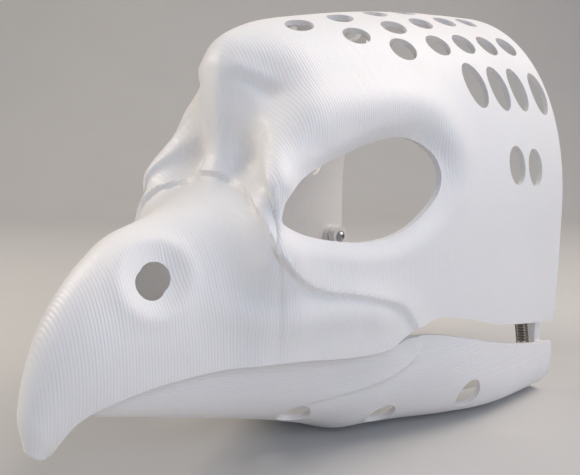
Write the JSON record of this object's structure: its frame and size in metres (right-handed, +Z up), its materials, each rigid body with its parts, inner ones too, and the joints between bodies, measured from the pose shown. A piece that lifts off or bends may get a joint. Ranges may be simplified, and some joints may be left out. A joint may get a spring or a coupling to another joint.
{
  "type": "bird-head mask with hinged jaw",
  "caption": "White printed bird-of-prey head mask with a hooked beak, eye openings, vents and a sprung lower jaw hinged inside the rear of the shell.",
  "frame": {"origin": "under the middle of the mask, on the flat that the jaw stands on", "axes": "+Z up, beak towards -Y, wearer's left towards +X"},
  "size_m": [0.188, 0.3149, 0.251],
  "materials": {
    "printed_shell": "white printed plastic, layers upright across the head",
    "printed_jaw": "white printed plastic, level layers",
    "zinc_screw": "bright zinc plate",
    "zinc_washer": "bright zinc plate, stamped",
    "brass": "machined brass",
    "spring_steel": "drawn spring wire"
  },
  "bodies": {
    "shell": {"upper_shell": "printed_shell", "left_pivot_screw": "zinc_screw", "left_inner_washer": "zinc_washer", "left_outer_washer": "zinc_washer", "left_pivot_insert": "brass", "left_upper_spring_screw": "zinc_screw", "left_upper_spring_insert": "brass", "right_pivot_screw": "zinc_screw", "right_inner_washer": "zinc_washer", "right_outer_washer": "zinc_washer", "right_pivot_insert": "brass", "right_upper_spring_screw": "zinc_screw", "right_upper_spring_insert": "brass"},
    "jaw": {"lower_jaw": "printed_jaw", "left_pivot_bush": "brass", "left_lower_spring_screw": "zinc_screw", "left_lower_spring_insert": "brass", "left_jaw_spring": "spring_steel", "right_pivot_bush": "brass", "right_lower_spring_screw": "zinc_screw", "right_lower_spring_insert": "brass", "right_jaw_spring": "spring_steel"}
  },
  "joints": [
    {"name": "jaw_hinge", "type": "hinge", "parent": "shell", "child": "jaw", "pos_m": [0, 0.1415, 0.088], "axis": [1, 0, 0], "range_deg": [0, 20], "stiffness_Nm_per_rad": 0.6, "springref_deg": -22.92, "deforming": ["left_jaw_spring", "right_jaw_spring"]}
  ]
}
